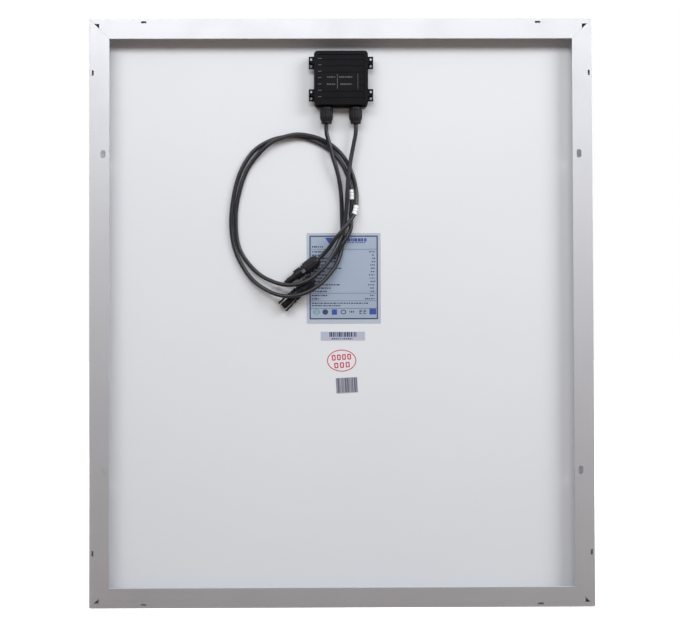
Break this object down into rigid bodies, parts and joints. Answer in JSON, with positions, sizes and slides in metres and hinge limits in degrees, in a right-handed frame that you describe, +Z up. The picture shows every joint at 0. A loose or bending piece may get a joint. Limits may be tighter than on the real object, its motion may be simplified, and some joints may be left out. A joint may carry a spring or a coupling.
{
  "type": "framed solar panel",
  "caption": "Framed photovoltaic panel with a rear junction box, cable glands and two coiled leads that end in inline plug connectors, for charging a battery or feeding an inverter.",
  "frame": {"origin": "middle of the rear mounting plane, in which the four rear flanges lie", "axes": "+X to the right as seen from behind, +Y from the rear plane towards the glass, +Z up the panel, towards the edge with the junction box"},
  "size_m": [0.668, 0.03, 0.78],
  "materials": {
    "anodised_aluminium": "satin natural anodised",
    "glass": "clear tempered, light texture",
    "encapsulant": "milky cured film",
    "cell": "dark blue anti-reflective coat on silicon",
    "tinned_copper": "bright tin plating",
    "back_sheet": "white film, slight sheen",
    "silicone": "cured silicone",
    "label_film": "silver-grey film",
    "paper_label": "printed white paper",
    "black_plastic": "fine moulded grain",
    "black_rubber": "matt",
    "lead_sheath": "satin black cable jacket",
    "white_sleeve": "printed white tube",
    "brass": "plain"
  },
  "bodies": {
    "panel": {"top_rail": "anodised_aluminium", "bottom_rail": "anodised_aluminium", "left_stile": "anodised_aluminium", "right_stile": "anodised_aluminium", "corner_key_top_left": "anodised_aluminium", "corner_key_top_right": "anodised_aluminium", "corner_key_bottom_left": "anodised_aluminium", "corner_key_bottom_right": "anodised_aluminium", "top_edge_seal": "silicone", "bottom_edge_seal": "silicone", "left_edge_seal": "silicone", "right_edge_seal": "silicone", "junction_box_pad": "silicone", "front_glass": "glass", "front_encapsulant": "encapsulant", "rear_encapsulant": "encapsulant", "cell_string_1": "cell", "cell_string_2": "cell", "cell_string_3": "cell", "cell_string_4": "cell", "bus_ribbon_bottom_left": "tinned_copper", "bus_ribbon_bottom_right": "tinned_copper", "bus_ribbon_top_left": "tinned_copper", "bus_ribbon_top_middle": "tinned_copper", "bus_ribbon_top_right": "tinned_copper", "socket_connector_contact": "tinned_copper", "pin_connector_contact": "tinned_copper", "back_sheet": "back_sheet", "rating_label": "label_film", "serial_label": "paper_label", "batch_sticker": "paper_label", "junction_box_base": "black_plastic", "bypass_diode_left": "black_plastic", "bypass_diode_right": "black_plastic", "junction_box_gasket": "black_rubber", "gland_seal_left": "black_rubber", "gland_seal_right": "black_rubber", "socket_connector_seal": "black_rubber", "pin_connector_seal": "black_rubber", "socket_connector_ring": "black_rubber", "terminal_left": "brass", "terminal_middle": "brass", "terminal_right": "brass", "socket_connector_body": "black_plastic", "pin_connector_body": "black_plastic", "lead_left": "lead_sheath", "lead_right": "lead_sheath", "lead_sleeve_left": "white_sleeve", "lead_sleeve_right": "white_sleeve"},
    "lid": {"junction_box_lid": "black_plastic"},
    "gland_claw_left_body": {"gland_claw_left": "black_plastic"},
    "gland_nut_left_body": {"gland_nut_left": "black_plastic"},
    "gland_claw_right_body": {"gland_claw_right": "black_plastic"},
    "gland_nut_right_body": {"gland_nut_right": "black_plastic"},
    "socket_claw_body": {"socket_connector_claw": "black_plastic"},
    "socket_nut_body": {"socket_connector_nut": "black_plastic"},
    "pin_claw_body": {"pin_connector_claw": "black_plastic"},
    "pin_nut_body": {"pin_connector_nut": "black_plastic"},
    "latch_upper": {"pin_connector_latch_upper": "black_plastic"},
    "latch_lower": {"pin_connector_latch_lower": "black_plastic"}
  },
  "joints": [
    {"name": "lid_lift", "type": "slide", "parent": "panel", "child": "lid", "axis": [0, -1, 0], "range_m": [0, 0.025]},
    {"name": "gland_left_claw_slide", "type": "slide", "parent": "panel", "child": "gland_claw_left_body", "axis": [0, 0, -1], "range_m": [0, 0.0046]},
    {"name": "gland_left_nut_turn", "type": "hinge", "parent": "gland_claw_left_body", "child": "gland_nut_left_body", "pos_m": [-0.0195, 0.0129, 0.252], "axis": [0, 0, -1], "range_deg": [0, 1080]},
    {"name": "gland_right_claw_slide", "type": "slide", "parent": "panel", "child": "gland_claw_right_body", "axis": [0, 0, -1], "range_m": [0, 0.0046]},
    {"name": "gland_right_nut_turn", "type": "hinge", "parent": "gland_claw_right_body", "child": "gland_nut_right_body", "pos_m": [0.0195, 0.0129, 0.252], "axis": [0, 0, -1], "range_deg": [0, 1080]},
    {"name": "socket_claw_slide", "type": "slide", "parent": "panel", "child": "socket_claw_body", "axis": [0.8, 0, 0.6], "range_m": [0, 0.0046]},
    {"name": "socket_nut_turn", "type": "hinge", "parent": "socket_claw_body", "child": "socket_nut_body", "pos_m": [-0.031, 0.0141, 0.0711], "axis": [0.8, 0, 0.6], "range_deg": [0, 1080]},
    {"name": "pin_claw_slide", "type": "slide", "parent": "panel", "child": "pin_claw_body", "axis": [0.7265, 0, 0.6872], "range_m": [0, 0.0046]},
    {"name": "pin_nut_turn", "type": "hinge", "parent": "pin_claw_body", "child": "pin_nut_body", "pos_m": [-0.03799, 0.0141, 0.04562], "axis": [0.7265, 0, 0.6872], "range_deg": [0, 1080]},
    {"name": "latch_upper_flex", "type": "hinge", "parent": "panel", "child": "latch_upper", "pos_m": [-0.0697, 0.0141, 0.02458], "axis": [0, -1, 0], "range_deg": [0, 4], "stiffness_Nm_per_rad": 0.02},
    {"name": "latch_lower_flex", "type": "hinge", "parent": "panel", "child": "latch_lower", "pos_m": [-0.06076, 0.0141, 0.01513], "axis": [0, 1, 0], "range_deg": [0, 4], "stiffness_Nm_per_rad": 0.02}
  ],
  "couplings": [
    {"joint": "gland_left_claw_slide", "follows": "gland_left_nut_turn", "m_per_rad": 0.00023873},
    {"joint": "gland_right_claw_slide", "follows": "gland_right_nut_turn", "m_per_rad": 0.00023873},
    {"joint": "socket_claw_slide", "follows": "socket_nut_turn", "m_per_rad": 0.00023873},
    {"joint": "pin_claw_slide", "follows": "pin_nut_turn", "m_per_rad": 0.00023873}
  ]
}
